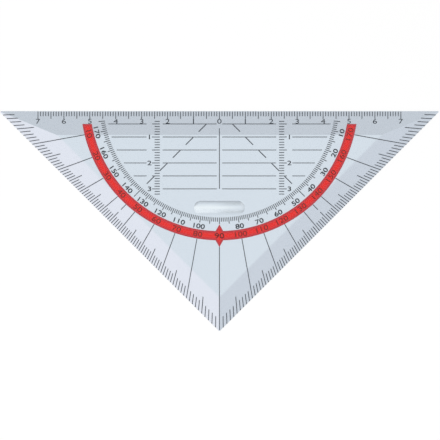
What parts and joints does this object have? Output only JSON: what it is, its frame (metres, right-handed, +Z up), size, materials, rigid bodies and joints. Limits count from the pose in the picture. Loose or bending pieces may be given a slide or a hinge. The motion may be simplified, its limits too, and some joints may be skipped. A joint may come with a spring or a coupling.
{
  "type": "protractor set square",
  "caption": "Clear moulded right-angled set square with bevelled edges and a finger grip, a ruler on the long edge, parallel lines, and a degree scale with a red band.",
  "frame": {"origin": "the zero mark: the middle of the long edge, on the underside that lies on the paper", "axes": "+X along the long edge, +Y square out of the long edge, +Z up through the bevelled face"},
  "size_m": [0.1692, 0.0849, 0.0029],
  "materials": {
    "clear_plastic": "clear moulded, polished",
    "black_ink": "stamped ink, satin",
    "red_ink": "stamped ink, satin"
  },
  "bodies": {
    "root": {"plate": "clear_plastic", "millimetre_marks": "black_ink", "half_centimetre_marks": "black_ink", "centimetre_marks": "black_ink", "inner_parallel_lines": "black_ink", "outer_parallel_lines": "black_ink", "centre_line": "black_ink", "left_depth_scale": "black_ink", "right_depth_scale": "black_ink", "left_diagonal_dashes": "black_ink", "right_diagonal_dashes": "black_ink", "ring_degree_marks": "black_ink", "ring_five_degree_marks": "black_ink", "forty_five_degree_lines": "black_ink", "left_leg_degree_marks": "black_ink", "right_leg_degree_marks": "black_ink", "left_leg_five_degree_marks": "black_ink", "right_leg_five_degree_marks": "black_ink", "ten_degree_rays": "black_ink", "ninety_degree_line": "black_ink", "red_band": "red_ink"}
  },
  "joints": []
}
